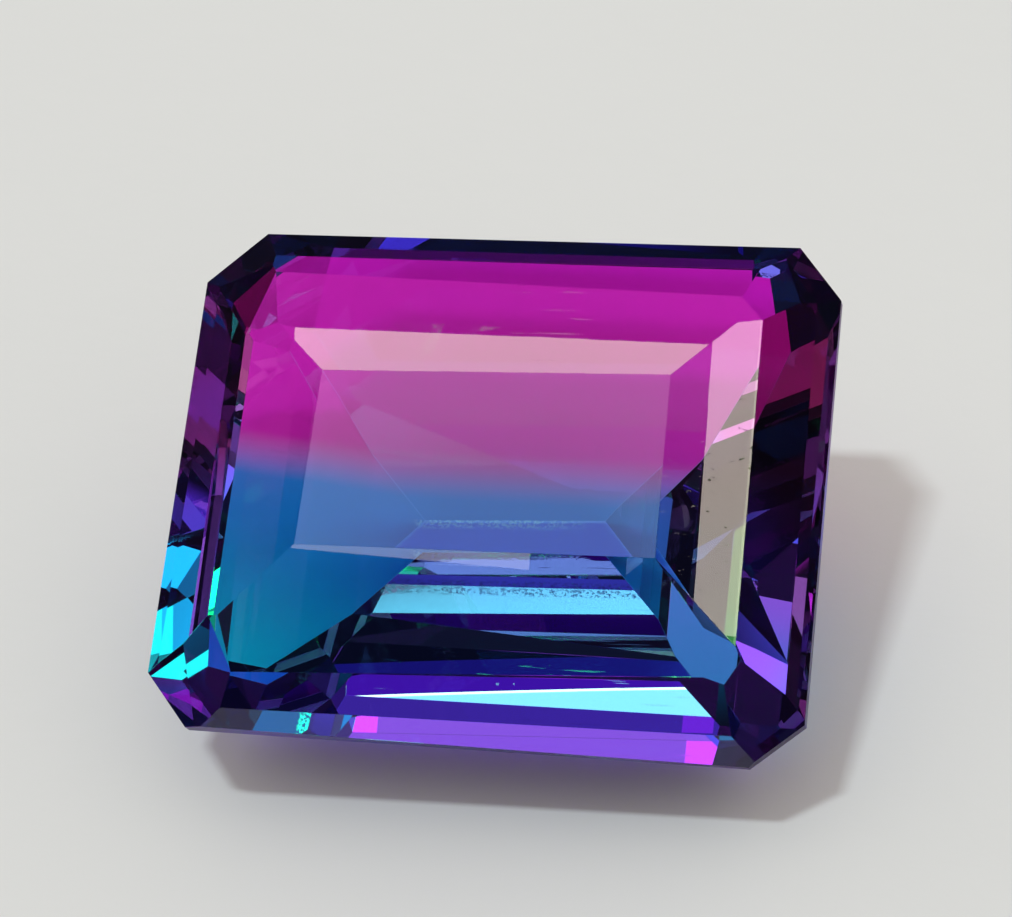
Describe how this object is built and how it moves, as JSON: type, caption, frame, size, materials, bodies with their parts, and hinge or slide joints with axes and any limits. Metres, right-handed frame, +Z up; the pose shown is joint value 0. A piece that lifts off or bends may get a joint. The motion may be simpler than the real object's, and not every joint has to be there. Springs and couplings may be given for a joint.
{
  "type": "faceted tourmaline",
  "caption": "Loose step-cut octagonal gemstone, pink at the rear and blue at the front, lying on a pavilion facet beside its keel.",
  "frame": {"origin": "on the ground, under the middle of the stone's box", "axes": "+Z up from the facet that the stone lies on, +X along the stone's length, +Y towards the raised rear side of the girdle"},
  "size_m": [0.0252, 0.0186, 0.0131],
  "materials": {
    "stone": "polished"
  },
  "bodies": {
    "root": {"stone": "stone"}
  },
  "joints": []
}
